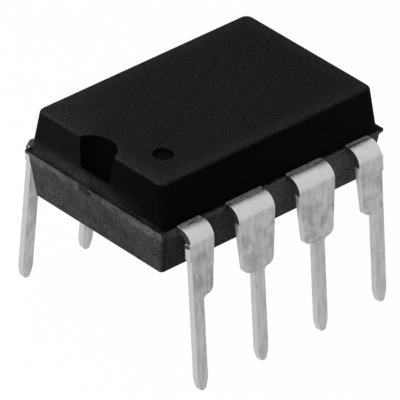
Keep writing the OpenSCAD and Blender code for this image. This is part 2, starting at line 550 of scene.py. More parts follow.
@dataclass
class Skin:
    """What the colours of the moulding compound are worked out from.

    Args:
        surface: The material under construction.
        body: The moulding, which says where its faces lie.
        mottle: Masks of patches and streaks.
        height: The height in millimetres, wandering a little.
        endwards: 1 where the surface looks along X.
    """

    surface: Surface
    body: "MouldedBody"
    mottle: dict[str, Field]
    height: Field
    endwards: Field


@dataclass(frozen=True)
class EpoxyFinish:
    """Filled black moulding compound: matt and fine-grained, with painted light and shade in its
    colour, such as painted floor light that makes it paler below the parting plane.
    """

    # Painted light and shade on the upper walls: wall is the lit copy of the colour, shade the shaded
    # one.
    wall: Colour = (0.0055, 0.0055, 0.0057)
    foot: Colour = (0.0240, 0.0240, 0.0240)
    # The top face's colour, painted paler than the walls, and the colour of the painted highlight on
    # its rim and the painted light in one corner.
    top: Colour = (0.0125, 0.0125, 0.0127)
    top_lit: Colour = (0.0225, 0.0225, 0.0227)
    # Painted shade in the notch, the dot and on the near end walls.
    recess: Colour = (0.0012, 0.0012, 0.0013)
    shade: Colour = (0.0026, 0.0026, 0.0027)
    # Painted floor light: the lower half is painted paler than the upper half.
    lower: Colour = (0.0445, 0.0447, 0.0450)
    # Painted light on the lower long sides, and painted highlights under the flange and on the webs.
    fill_lit_side: Colour = (0.1150, 0.1150, 0.1145)
    band_highlight: Colour = (0.0830, 0.0830, 0.0825)
    web_highlight: Colour = (0.0700, 0.0700, 0.0695)
    corner_line: Colour = (0.0200, 0.0200, 0.0202)
    roughness: float = 0.62
    roughness_spread: float = 0.16
    specular: float = 0.008
    grain_per_mm: float = 15.0
    grain_depth: float = 0.006
    grain_contrast: float = 1.1
    dim_side: float = 0.04
    end_facing: Span = (0.5, 0.9)
    side_facing: Span = (0.6, 0.9)
    lit_x: Span = (-1.5, 5.5)
    lit_y: Span = (-2.2, 1.8)
    shaded_end_y: Span = (-0.9, 0.6)
    lit_end_y: Span = (1.4, 3.0)
    wander: float = 0.10
    top_z: Span = (-0.10, -0.01)
    rim_w: Span = (0.0, 0.75)
    lit_corner: Span = (3.6, 7.4)
    foot_y: Span = (-2.9, 1.2)
    foot_z: Span = (0.08, 0.60)
    ledge_x: Span = (-0.01, 0.01)
    below_z: Span = (-0.035, -0.008)
    fill_lit_x: Span = (-4.4, 2.8)
    band_z: Span = (-0.26, 0.02)
    band_soft: float = 0.14
    band_gap_y: Span = (-0.9, 0.9)
    corner_line_w: Span = (0.15, 0.25)
    web_y: Span = (0.02, 0.07)
    sunk_z: Span = (-0.05, -0.005)
    recess_rim: Span = (0.01, 0.05)
    dot_core: Span = (0.35, 0.85)
    recess_x: Span = (0.008, 0.035)
    recess_z: Span = (0.2, 0.3)

    def material(self, body: "MouldedBody", groups: SurfaceGroups) -> Material:
        """Build the material.

        Args:
            body: The moulding that it is for, which says where its faces lie.
            groups: The shared shader groups.

        Returns:
            The material.
        """
        surface = Surface("Moulding compound", {"Specular IOR Level": self.specular})
        graph = surface.graph
        grain = surface.group(groups.grain, Per_millimetre=self.grain_per_mm, Pits=0.2)
        mottle = surface.group(groups.mottle, Patches_per_millimetre=1.7,
                               Streaks_per_millimetre=5.0, Draw=0.35, Softness=0.13)
        height = surface.z + self.wander * (mottle["Patch"] - 0.5)
        endwards = graph.step(abs(surface.facing[0]), *self.end_facing)
        skin = Skin(surface, body, mottle, height, endwards)
        colour = self.top_colour(skin, self.wall_colour(skin))
        # Painted shade in the notch and the dot, in the recess colour.
        colour = graph.coats(colour, (self.recesses(surface, body), self.recess))
        colour = self.lower_colour(skin, colour)
        speck = 1.0 - self.grain_contrast / 2 + self.grain_contrast * grain["Speckle"]
        shade = graph.add("ShaderNodeVectorMath", {0: colour, "Scale": speck}, operation="SCALE")
        roughness = self.roughness + self.roughness_spread * (grain["Height"] - 0.5)
        surface.bump(grain["Height"], self.grain_depth)
        return surface.finish(shade.outputs[0], roughness)

    def wall_colour(self, skin: Skin) -> NodeSocket:
        """Colour the upper walls with painted light and shade, darkest near the first lead.

        Args:
            skin: What the colours are worked out from.

        Returns:
            The walls' colour, palest at the foot of the ends, with painted light on the ledge.
        """
        graph, x, y = skin.surface.graph, skin.surface.x, skin.surface.y
        patch, endwards = skin.mottle["Patch"], skin.endwards
        # Painted light and shade: the walls go from the shade colour on the near side to the wall
        # colour towards the far row, and get lighter towards +X on the long sides.
        lit = self.dim_side + (1.0 - self.dim_side) * graph.step(y, *self.lit_y)
        lit = lit + 1.1 * graph.step(x, *self.lit_x) * (1.0 - endwards)
        # Painted shade on the end walls towards the near row, in the recess colour.
        dark = endwards * (1.0 - graph.step(y, *self.shaded_end_y))
        # Painted light on the flange ledge at each end, against the shade that the wall above casts;
        # paler patches at the foot of the end walls.
        ledge = graph.step(abs(x) - skin.body.upper_l / 2, *self.ledge_x)
        foot = 1.0 - graph.step(skin.height - skin.body.parting_z, *self.foot_z)
        foot = foot * graph.math("MAXIMUM", endwards, ledge) * graph.step(y, *self.foot_y)
        foot = graph.math("MAXIMUM", foot, ledge * 0.8)
        return graph.coats(rgba(self.shade), (lit, self.wall), (dark * 0.62, self.recess),
                           (endwards * (1.0 - patch) * 0.4, self.shade),
                           (foot * (0.45 + 0.55 * patch), self.foot))

    def top_colour(self, skin: Skin, colour: NodeSocket) -> NodeSocket:
        """Lay the top face's colour over the walls', with the top painted paler than the walls as
        painted light.

        Args:
            skin: What the colours are worked out from.
            colour: The walls' colour.

        Returns:
            Both, with a painted highlight along the rim and a pool of painted light in one corner.
        """
        surface, body, graph = skin.surface, skin.body, skin.surface.graph
        on_top = graph.step(surface.z - body.top_z, *self.top_z)
        from_rim = graph.math("MINIMUM", body.top_w / 2 - abs(surface.y),
                              body.top_l / 2 - abs(surface.x))
        # Painted highlight along the top face's rim.
        near_rim = 1.0 - graph.step(from_rim, *self.rim_w)
        # Painted light on the top in the corner at the notch end of the far row, with random patches.
        corner_light = graph.step(surface.y - surface.x, *self.lit_corner)
        corner_light = corner_light * (0.6 + 0.4 * skin.mottle["Patch"])
        return graph.coats(colour, (on_top, self.top), (on_top * near_rim * 0.8, self.top_lit),
                           (on_top * corner_light, self.top_lit))

    def lower_colour(self, skin: Skin, colour: NodeSocket) -> NodeSocket:
        """Lay the lower half's colour over the rest, painted paler as the light from the pale floor
        below.

        Args:
            skin: What the colours are worked out from.
            colour: The colour of the upper half.

        Returns:
            Both, with painted highlights under the flange and on the webs.
        """
        surface, body, graph = skin.surface, skin.body, skin.surface.graph
        patch, streak, endwards = skin.mottle["Patch"], skin.mottle["Streak"], skin.endwards
        below = 1.0 - graph.step(surface.z - body.parting_z, *self.below_z)
        uneven = patch * 0.32 + streak * 0.18 + 0.58
        # Painted light: the lower end walls are painted paler towards the far row.
        uneven = uneven + endwards * (0.26 * graph.step(surface.y, *self.lit_end_y) - 0.07)
        # Painted light on the lower long sides, paler towards +X, away from the notch.
        fill_lit = graph.step(surface.x, *self.fill_lit_x) * (1.0 - endwards)
        # Painted highlight on a band just under the parting plane, weaker in the middle of the ends.
        band = graph.window(skin.height - body.parting_z, *self.band_z, self.band_soft)
        band = band * (1.0 - 0.5 * graph.window(surface.y, *self.band_gap_y, 0.5))
        # A darker line down the near side of the lower half, next to its corner at the notch end.
        draft = (body.lower_l - body.base_l) / 2 / body.lower_h
        from_corner = surface.x - ((body.parting_z - surface.z) * draft - body.lower_l / 2)
        corner_line = 1.0 - graph.step(from_corner, *self.corner_line_w)
        corner_line = corner_line * graph.step(surface.facing[1] * -1.0, *self.side_facing)
        # Painted highlight on the webs between the leads, where they catch the light.
        web = graph.step(abs(surface.y) - body.lower_w / 2, *self.web_y)
        web = web * graph.step(surface.z, body.parting_z - 0.6 * body.flange_t, body.parting_z)
        # Painted floor light on the lower half, with random patches and streaks.
        return graph.coats(colour, (below * uneven, self.lower),
                           (below * fill_lit * (0.65 + 0.3 * patch), self.fill_lit_side),
                           (below * band * (0.40 + 0.60 * patch), self.band_highlight),
                           (below * corner_line * (0.5 + 0.4 * patch), self.corner_line),
                           (web * streak, self.web_highlight))

    def recesses(self, surface: Surface, body: "MouldedBody") -> Field:
        """Mask the notch and the first-lead dot for their painted shade.

        Args:
            surface: The material under construction.
            body: The moulding, which says where they lie.

        Returns:
            The mask, weaker in the middle of the dot, which is painted paler.
        """
        graph = surface.graph
        sunk = 1.0 - graph.step(surface.z - body.top_z, *self.sunk_z)
        mask: Number = 0.0
        for (x, y), radius, depth, core in ((body.notch_place, body.notch_r, 1.0, 0.0),
                                            (body.dot_place, body.dot_r, 0.95, 0.80)):
            off_x, off_y = surface.x - x, surface.y - y
            away = graph.math("SQRT", off_x * off_x + off_y * off_y)
            inside = 1.0 - graph.step(away - radius, *self.recess_rim)
            pale = core * (1.0 - graph.step(away / radius, *self.dot_core))
            mask = graph.math("MAXIMUM", mask, inside * sunk * (depth - pale))
        slope = (body.upper_l - body.top_l) / 2 / body.upper_h
        end_x = (surface.z - body.top_z) * slope - body.top_l / 2
        within = graph.step(surface.x - end_x, *self.recess_x)
        above = graph.step(surface.z - body.parting_z, *self.recess_z)
        return mask * above * within


@dataclass(frozen=True)
class TinFinish:
    """Matt tin plate on stamped leads: satin, with a painted highlight on the faces that look up,
    over the bend, and mottled below it.
    """

    # Colour of the painted highlight on the faces that look up.
    lit_upper: Colour = (0.60, 0.60, 0.595)
    bright: Colour = (0.485, 0.485, 0.48)
    dull: Colour = (0.305, 0.305, 0.302)
    edge: Colour = (0.56, 0.56, 0.555)
    film: Colour = (0.20, 0.20, 0.20)
    dark_line: Colour = (0.025, 0.025, 0.025)
    dark_flank: Colour = (0.010, 0.010, 0.010)
    roughness: float = 0.38
    roughness_spread: float = 0.16
    grain_depth: float = 0.0035
    edge_facing: Span = (0.55, 0.85)
    up_facing: Span = (0.10, 0.42)
    shoulder_soft: float = 0.30
    flat_z: Span = (0.38, 0.45)
    film_w: Span = (0.08, 0.13)
    dark_line_w: Span = (0.125, 0.17)
    dark_line_soft: float = 0.03
    dark_flank_z: Span = (-0.06, 0.02)

    def material(self, lead: "Lead", groups: SurfaceGroups) -> Material:
        """Build the material.

        Args:
            lead: A lead, which says where its shoulder and its bend lie.
            groups: The shared shader groups.

        Returns:
            The material.
        """
        surface = Surface("Matt tin plate", {})
        graph = surface.graph
        grain = surface.group(groups.grain, Per_millimetre=12.0, Pits=0.1)
        mottle = surface.group(groups.mottle, Patches_per_millimetre=1.5,
                               Streaks_per_millimetre=7.0, Draw=0.2, Softness=0.10)
        sideways, _, upwards = surface.facing
        # The side faces are painted paler: partly the sheared edges' own finish, partly painted
        # light.
        on_edge = graph.step(abs(sideways), *self.edge_facing)
        # Painted highlight on the faces that look up, most of all over the bend.
        bent = graph.step(upwards, *self.up_facing)
        shoulder = graph.window(surface.z, lead.shoulder_z + 0.25, lead.bend_z - 0.45,
                                self.shoulder_soft)
        flat = graph.step(surface.z - lead.bend_z, *self.flat_z)
        patch, streak = mottle["Patch"], mottle["Streak"]
        wander = 0.07 * (patch - 0.5) + 0.03 * (grain["Height"] - 0.5)
        from_wall = abs(surface.y) + wander - lead.body.flange_y
        film = (1.0 - graph.step(from_wall, *self.film_w)) * flat
        # A dark line across the top of each lead, just past the grey film by the moulding's wall.
        dark_line = graph.window(from_wall, *self.dark_line_w, self.dark_line_soft) * flat
        # The side faces above the bend are painted near black, not metallic and rougher, with a
        # ragged lower edge.
        ragged = surface.z + 0.08 * (patch - 0.5) + 0.03 * grain["Height"]
        dark_flank = on_edge * graph.step(ragged - lead.bend_z, *self.dark_flank_z)
        colour = graph.coats(rgba(self.bright),
                             (patch * (0.15 + 0.6 * shoulder) + streak * 0.25, self.dull),
                             (on_edge * 0.9, self.edge), (bent * 0.95, self.lit_upper),
                             (film * (0.55 + 0.45 * streak), self.film),
                             (dark_line * (0.55 + 0.45 * patch), self.dark_line), (dark_flank, self.dark_flank))
        bare = (1.0 - dark_flank) * (1.0 - 0.8 * film) * (1.0 - 0.8 * dark_line)
        graph.feed(surface.shader.inputs["Metallic"], bare)
        roughness = self.roughness + self.roughness_spread * streak + 0.25 * (1.0 - bare)
        surface.bump(grain["Height"] + streak * 0.4, self.grain_depth)
        return surface.finish(colour, roughness)


@dataclass(frozen=True)
class InnerFinish:
    """Finish of a piece that the moulding hides: one colour with a fine grain."""

    name: str
    light: Colour
    dark: Colour
    metallic: float
    roughness: float
    per_millimetre: float = 12.0
    tarnish: Colour = (0.021, 0.0205, 0.020)
    tarnished_from: float = 4.45
    specular: float = 0.5
    grain_depth: float = 0.002

    def material(self, groups: SurfaceGroups) -> Material:
        """Build the material, tarnished where it comes out at the body's ends.

        Args:
            groups: The shared shader groups.

        Returns:
            The material.
        """
        surface = Surface(self.name, {"Specular IOR Level": self.specular})
        graph = surface.graph
        grain = surface.group(groups.grain, Per_millimetre=self.per_millimetre, Pits=0.1)
        cut = graph.step(abs(surface.x), self.tarnished_from, self.tarnished_from + 0.05)
        colour = graph.coats(rgba(self.light), (grain["Speckle"], self.dark), (cut, self.tarnish))
        graph.feed(surface.shader.inputs["Metallic"], (1.0 - cut) * self.metallic)
        surface.bump(grain["Height"], self.grain_depth)
        return surface.finish(colour, self.roughness + 0.1 * grain["Height"] + 0.3 * cut)


class Ring(NamedTuple):
    """One level of the moulding, a rounded rectangle."""

    length: float
    width: float
    z: float
    corner: float
    ragged: float = 0.0


@dataclass(frozen=True)
class Recess:
    """A round recess of the moulding.

    Args:
        name: Its name.
        place: Centre of its mouth.
        radius: Radius of its mouth.
        floor: Radius of its floor.
        depth: Its depth.
        lip: Radius of the rounded lip round its mouth.
        fillet: Radius of the rounding round its floor.
        below: Whether it is in the underside.
        above: How far its cutter stands out of the moulding.
        sides: Sides of its cutter.
        fillet_steps: Steps of the rounding round its floor.
        lip_steps: Steps of the lip.
    """

    name: str
    place: tuple[float, float, float]
    radius: float
    floor: float
    depth: float
    lip: float
    fillet: float = 0.02
    below: bool = False
    above: float = 0.4
    sides: int = 96
    fillet_steps: int = 4
    lip_steps: int = 6

    def outline(self) -> list[tuple[float, float]]:
        """Draw half the cutter's cross-section.

        Returns:
            Radius and height of its points, from the middle of the floor up.
        """
        points = [(0.0, -self.depth)]
        for angle in quarter_turn(self.fillet_steps):
            points.append((self.floor - self.fillet * (1 - math.sin(angle)),
                           self.fillet * (1 - math.cos(angle)) - self.depth))
        for angle in quarter_turn(self.lip_steps):
            points.append((self.radius + self.lip * (1 - math.cos(angle)),
                           self.lip * (math.sin(angle) - 1)))
        return [*points, (self.radius + self.lip, self.above), (0.0, self.above)]

    def cutter(self) -> Object:
        """Turn the outline round and set the cutter in its place.

        Returns:
            The cutter.
        """
        outline = self.outline()
        size = len(outline)
        points = []
        faces = []
        for side in range(self.sides):
            turn = 2 * math.pi * side / self.sides
            points += [Vector((r * math.cos(turn), r * math.sin(turn), z)) for r, z in outline]
            here = side * size
            there = (side + 1) % self.sides * size
            faces += [(here + k, there + k, there + k + 1, here + k + 1) for k in range(size - 1)]
        made = new_object(self.name, mesh_from(self.name, points, faces))
        made.location = Vector(self.place) * MM
        made.rotation_euler = (math.pi if self.below else 0, 0, 0)
        return made


@dataclass
class MouldedBody:
    """The epoxy moulding, lofted through rings from its underside to its top face."""

    standoff: float = 3.91
    lower_h: float = 1.69
    upper_h: float = 1.52
    top_l: float = 8.88
    top_w: float = 5.86
    upper_l: float = 9.10
    upper_w: float = 6.28
    lower_l: float = 9.24
    lower_w: float = 6.32
    base_l: float = 8.90
    base_w: float = 5.94
    corner_r: float = 0.24
    lower_corner_r: float = 0.12
    top_edge_r: float = 0.13
    base_edge_r: float = 0.08
    flange_out_l: float = 0.075
    flange_out_w: float = 0.045
    flange_t: float = 0.13
    flange_corner_r: float = 0.03
    below_leads: float = 0.006
    notch_r: float = 0.84
    notch_floor_r: float = 0.72
    notch_depth: float = 1.06
    notch_y: float = 0.08
    dot_r: float = 0.34
    dot_depth: float = 0.08
    dot_from_end: float = 1.27
    dot_from_side: float = 1.35
    ejector_r: float = 0.6
    ejector_depth: float = 0.05
    ejector_pitch: float = 5.08
    lip_r: float = 0.05
    notch_fillet: float = 0.10
    dot_lip: float = 0.02
    ejector_lip: float = 0.01
    flange_fillet: float = 0.06
    flange_cut_l: float = 0.05
    flange_cut_w: float = 0.03
    flange_edge_r: float = 0.02
    flange_lip_r: float = 0.015
    foot_out: float = 0.04
    foot_h: float = 0.03
    ragged: float = 0.010
    ragged_wall: float = 0.25
    ragged_foot: float = 0.3
    ragged_scales: tuple[float, float] = (2.3, 7.1)
    corner_steps: int = 10
    long_steps: int = 64
    short_steps: int = 44
    wall_steps: int = 8
    edge_steps: int = 6

    @property
    def parting_z(self) -> float:
        """Return the height of the parting plane."""
        return self.standoff + self.lower_h

    @property
    def top_z(self) -> float:
        """Return the height of the top face."""
        return self.parting_z + self.upper_h

    @property
    def flange_x(self) -> float:
        """Return how far out the flange reaches along X."""
        return self.lower_l / 2 + self.flange_out_l

    @property
    def flange_y(self) -> float:
        """Return how far out the flange reaches along Y."""
        return self.lower_w / 2 + self.flange_out_w

    @property
    def notch_place(self) -> tuple[float, float]:
        """Return the notch's centre."""
        return -self.flange_x, self.notch_y

    @property
    def dot_place(self) -> tuple[float, float]:
        """Return the dot's centre."""
        return -self.top_l / 2 + self.dot_from_end, -self.top_w / 2 + self.dot_from_side

    def ring(self, level: Ring) -> list[Vector]:
        """Place the points of one level.

        Args:
            level: The level.

        Returns:
            Its points, anticlockwise from its corner at +X and +Y.
        """
        arcs = []
        for turn, (sx, sy) in enumerate([(1, 1), (-1, 1), (-1, -1), (1, -1)]):
            centre = Vector((sx * (level.length / 2 - level.corner),
                             sy * (level.width / 2 - level.corner), level.z))
            angles = [angle + turn * math.pi / 2 for angle in quarter_turn(self.corner_steps)]
            arcs.append([centre + level.corner * Vector((math.cos(angle), math.sin(angle), 0))
                         for angle in angles])
        points: list[Vector] = []
        for turn, arc in enumerate(arcs):
            end = arcs[(turn + 1) % 4][0]
            steps = self.short_steps if turn % 2 else self.long_steps
            points += arc
            points += [arc[-1].lerp(end, k / steps) for k in range(1, steps)]
        return points

    def wall(self, low: tuple[float, float, float], high: tuple[float, float, float], corner: float,
             ragged: float = 0.0) -> list[Ring]:
        """Work out one drafted wall.

        Args:
            low: Length, width and height at its lower end.
            high: The same at its upper end.
            corner: Radius of its corners.
            ragged: How ragged it gets towards its upper end.

        Returns:
            Its levels, from the lower end up.
        """
        levels = []
        for k in range(self.wall_steps + 1):
            share = k / self.wall_steps
            length, width, z = (a + (b - a) * share for a, b in zip(low, high))
            levels.append(Ring(length, width, z, corner, ragged * share))
        return levels

    def flange(self) -> list[Ring]:
        """Work out the parting flange, and the upper half's foot on it.

        Returns:
            Their levels, from the lowest up.
        """
        length, width = 2 * self.flange_x, 2 * self.flange_y
        low = self.parting_z - self.flange_t
        high = self.parting_z - self.below_leads
        corner, edge, lip = self.flange_corner_r, self.flange_edge_r, self.flange_lip_r
        return [Ring(length - self.flange_cut_l, width - self.flange_cut_w, low, corner, 1.0),
                Ring(length, width, low + edge, corner, 1.0),
                Ring(length, width, high - edge, corner, 1.0),
                Ring(length - lip, width - lip, high, corner, 1.0),
                Ring(self.upper_l + self.foot_out, self.upper_w + self.foot_out, high,
                     self.corner_r, self.ragged_foot)]

    def levels(self) -> list[Ring]:
        """Work out the whole moulding.

        Returns:
            Its levels, from the underside to the top face.
        """
        arc = quarter_turn(self.edge_steps)
        base, top = self.base_edge_r, self.top_edge_r
        rings = []
        for angle in arc:
            inset = 2 * base * (1 - math.sin(angle))
            rings.append(Ring(self.base_l - inset, self.base_w - inset,
                              self.standoff + base * (1 - math.cos(angle)), self.lower_corner_r))
        under = self.parting_z - self.flange_t - self.flange_fillet
        rings += self.wall((self.base_l, self.base_w, self.standoff + base),
                           (self.lower_l, self.lower_w, under), self.lower_corner_r,
                           self.ragged_wall)[1:]
        rings += self.flange()
        rings += self.wall((self.upper_l, self.upper_w, self.parting_z + self.foot_h),
                           (self.top_l, self.top_w, self.top_z - top), self.corner_r)
        for angle in arc[1:]:
            inset = 2 * top * (1 - math.cos(angle))
            rings.append(Ring(self.top_l - inset, self.top_w - inset,
                              self.top_z - top * (1 - math.sin(angle)), self.corner_r))
        return rings

    def rough(self, point: Vector, amount: float) -> Vector:
        """Push a point of the flange in a little at random.

        Args:
            point: The point.
            amount: How ragged its level is.

        Returns:
            The moved point.
        """
        coarse, fine = self.ragged_scales
        dent = abs(noise.noise(point * coarse) + 0.5 * noise.noise(point * fine))
        away = Vector((point.x, point.y, 0)).normalized()
        return point - away * (2 * amount * self.ragged * dent)

    def shell(self) -> Mesh:
        """Loft the moulding, before its notch and marks are cut.

        Returns:
            Its mesh.
        """
        rings = [[self.rough(point, level.ragged) for point in self.ring(level)]
                 for level in self.levels()]
        count = len(rings[0])
        faces: list[Sequence[int]] = []
        for base in range(0, (len(rings) - 1) * count, count):
            for k in range(count):
                after = (k + 1) % count
                faces.append((base + k, base + after, base + count + after, base + count + k))
        faces.append(range(count - 1, -1, -1))
        faces.append(range((len(rings) - 1) * count, len(rings) * count))
        return mesh_from("moulding", [point for ring in rings for point in ring], faces)

    def recesses(self) -> list[Recess]:
        """Work out the notch, the dot and the ejector marks.

        Returns:
            The recesses.
        """
        marks = [Recess("ejector_cutter", (side * self.ejector_pitch / 2, 0, self.standoff),
                        self.ejector_r, self.ejector_r, self.ejector_depth, self.ejector_lip,
                        below=True) for side in (-1, 1)]
        return [Recess("notch_cutter", (*self.notch_place, self.top_z), self.notch_r,
                       self.notch_floor_r, self.notch_depth, self.lip_r, self.notch_fillet),
                Recess("dot_cutter", (*self.dot_place, self.top_z), self.dot_r, self.dot_r,
                       self.dot_depth, self.dot_lip), *marks]

    def build(self, material: Material) -> Object:
        """Build the moulding and let it stand for its node.

        Args:
            material: The moulding compound.

        Returns:
            The finished piece.
        """
        rough = new_object("moulding_blank", self.shell())
        tools = [recess.cutter() for recess in self.recesses()]
        for tool in tools:
            cut = rough.modifiers.new(tool.name, "BOOLEAN")
            cut.operation = "DIFFERENCE"
            cut.solver = "EXACT"
            cut.object = tool
        mesh = applied_mesh(rough, "moulding_mesh")
        for helper in [rough, *tools]:
            bpy.data.objects.remove(helper)
        tidy_mesh(mesh)
        piece = new_object("moulding", mesh)
        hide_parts("moulded_body")
        dress(piece, material)
        return piece


@dataclass
class Webs:
    """The bits of moulding left between the leads where the dam bars were cut away."""

    body: MouldedBody
    pitch: float = PITCH
    gaps: int = 3
    length: float = 0.90
    depth: float = 0.5
    out: float = 0.065
    proud: float = 0.001
    ragged: float = 0.012
    dents_per_mm: float = 4.0
    dent_bias: float = 0.7
    cells: tuple[int, int, int] = (24, 10, 6)
    seed: int = 7

    def sizes(self) -> dict[str, float]:
        """Work out the tree's inputs.

        Returns:
            Their values in millimetres, by name.
        """
        body = self.body
        return {"Pitch": self.pitch, "Length": self.length, "Depth": self.depth,
                "Thickness": body.flange_t, "Ragged": self.ragged,
                "Half width": body.flange_y + self.out,
                "Height": body.parting_z - body.flange_t / 2 + self.proud}

    def tree(self, material: Material) -> NodeTree:
        """Build a Geometry Nodes tree that sets ragged blocks along both sides.

        Args:
            material: The moulding compound.

        Returns:
            The tree.
        """
        graph, size = new_tree("GeometryNodeTree", "Webs between leads", list(self.sizes()),
                               ["Geometry"])
        form: dict[str, object] = {f"Vertices {axis}": n for axis, n in zip("XYZ", self.cells)}
        form["Size"] = graph.place(size["Length"], size["Depth"], size["Thickness"])
        block = graph.add("GeometryNodeMeshCube", form)
        start = graph.place(size["Pitch"] * (-(self.gaps - 1) / 2), 0.0, 0.0)
        line = graph.add("GeometryNodeMeshLine", {"Count": self.gaps, "Start Location": start,
                                                  "Offset": graph.place(size["Pitch"], 0.0, 0.0)})
        sides = graph.add("GeometryNodeJoinGeometry")
        for sign in (-1.0, 1.0):
            out = sign * (size["Half width"] - size["Depth"] / 2)
            moved = graph.add("GeometryNodeTransform", {
                "Geometry": line.outputs[0], "Translation": graph.place(0.0, out, size["Height"])})
            graph.tree.links.new(moved.outputs[0], sides.inputs[0])
        copies = graph.add("GeometryNodeInstanceOnPoints",
                           {"Points": sides.outputs[0], "Instance": block.outputs[0]})
        real = graph.add("GeometryNodeRealizeInstances", {"Geometry": copies.outputs[0]})
        place = graph.add("GeometryNodeInputPosition").outputs[0]
        shifted = graph.add("ShaderNodeVectorMath", {0: place, 1: (self.seed * MM,) * 3},
                            operation="ADD")
        wander = cloud(graph, shifted.outputs[0], self.dents_per_mm / MM, 2.0, 0.5)
        dent = (wander - self.dent_bias) * size["Ragged"]
        outwards = graph.math("SIGN", graph.parts(place)[1])
        push = graph.add("GeometryNodeSetPosition", {
            "Geometry": real.outputs[0], "Offset": graph.place(0.0, outwards * dent, dent * 0.5)})
        return end_geometry(graph, push, material)

    def build(self, material: Material) -> Object:
        """Build the blocks as one piece.

        Args:
            material: The moulding compound.

        Returns:
            The finished piece.
        """
        sizes = {key: value * MM for key, value in self.sizes().items()}
        piece = new_object("moulding_webs", grown_mesh("webs_mesh", self.tree(material), sizes))
        dress(piece, material)
        return piece


@dataclass
class Sweep:
    """The shape of a lead, as numbers that vary along it.

    Args:
        graph: The tree under construction.
        size: Its inputs.
        splay: How far the legs lean outwards, in radians.
    """

    graph: Graph
    size: dict[str, Field]
    splay: float

    def path(self, share: Field) -> tuple[Field, Field, Field]:
        """Return where the middle line runs.

        Args:
            share: How far along it, from 0 at the root to 1 at the tip.

        Returns:
            The distance outwards, the height and the angle that the line has turned by.
        """
        graph, size = self.graph, self.size
        turn = math.pi / 2 - self.splay
        radius = size["Middle radius"]
        bend = radius * turn
        along = share * (size["Flat"] + bend + size["Leg length"])
        past_flat = graph.math("MAXIMUM", along - size["Flat"], 0.0)
        past_bend = graph.math("MAXIMUM", past_flat - bend, 0.0)
        angle = graph.math("MINIMUM", past_flat / radius, turn)
        out = size["Root"] + graph.math("MINIMUM", along, size["Flat"])
        out = out + radius * graph.math("SINE", angle) + past_bend * math.sin(self.splay)
        height = size["Middle height"] - radius * (1.0 - graph.math("COSINE", angle))
        return out, height - past_bend * math.cos(self.splay), angle

    def shoulder(self, height: Field) -> Field:
        """Work out how much farther than the leg the shoulder reaches.

        Args:
            height: The height.

        Returns:
            The distance.
        """
        graph, size = self.graph, self.size
        radius = size["Shoulder radius"]
        hollow = size["Shoulder low"] - radius - size["Leg"]
        corner_z = size["Shoulder height"] + radius
        hollow_z = size["Shoulder height"] - hollow
        convex = graph.arc(radius, graph.hold(corner_z - height, 0.0, radius))
        concave = hollow - graph.arc(hollow, graph.hold(height - hollow_z, 0.0, hollow))
        spread = graph.hold((height - corner_z) / (size["Bend height"] - corner_z), 0.0, 1.0)
        return convex + concave + (size["Shoulder"] - size["Shoulder low"]) * spread

    def leg(self, height: Field) -> Field:
        """Work out half the leg's width, with its tapered and rounded tip.

        Args:
            height: The height.

        Returns:
            Half the width.
        """
        graph, size = self.graph, self.size
        tip_r = size["Tip radius"]
        to_taper = 1.0 - graph.math("MINIMUM", height / size["Tip height"], 1.0)
        taper = 1.0 - graph.math("POWER", to_taper, size["Taper power"])
        rounding = tip_r - graph.arc(tip_r, graph.hold(tip_r - height, 0.0, tip_r))
        return size["Tip"] + (size["Leg"] - size["Tip"]) * taper - rounding

    def reach(self, height: Field, to_right: Field) -> Field:
        """Work out how far the lead reaches from its middle.

        Args:
            height: The height.
            to_right: 1 for the right side, -1 for the left.

        Returns:
            The distance.
        """
        graph, size = self.graph, self.size
        leg, shoulder = self.leg(height), self.shoulder(height)
        half_stub = size["Stub length"] * 0.5
        from_end = half_stub - abs(height - size["Stub height"] - half_stub)
        left, right = (leg + shoulder * size[side] + graph.hold(from_end, 0.0, size[stub])
                       for side, stub in (("Left", "Stub left"), ("Right", "Stub right")))
        return left + (right - left) * ((to_right + 1.0) * 0.5)

    def section(self, column: Field, steps: float, height: Field) -> tuple[Field, Field]:
        """Return where a column of points runs in the rounded cross-section.

        Args:
            column: The column's number.
            steps: Columns at each corner.
            height: The height of the section.

        Returns:
            The distance to the right, and the distance outwards from the middle line.
        """
        graph, edge = self.graph, self.size["Edge radius"]
        quarter = graph.math("FLOOR", (column + 0.5) / steps)
        within = (column - quarter * steps) / (steps - 1.0)
        angle = (quarter + within) * (math.pi / 2)
        middle = (quarter + 0.5) * (math.pi / 2)
        to_right = graph.math("SIGN", graph.math("COSINE", middle))
        to_top = graph.math("SIGN", graph.math("SINE", middle))
        across = to_right * (self.reach(height, to_right) - edge)
        proud = to_top * (self.size["Half thickness"] - edge)
        return (across + edge * graph.math("COSINE", angle),
                proud + edge * graph.math("SINE", angle))


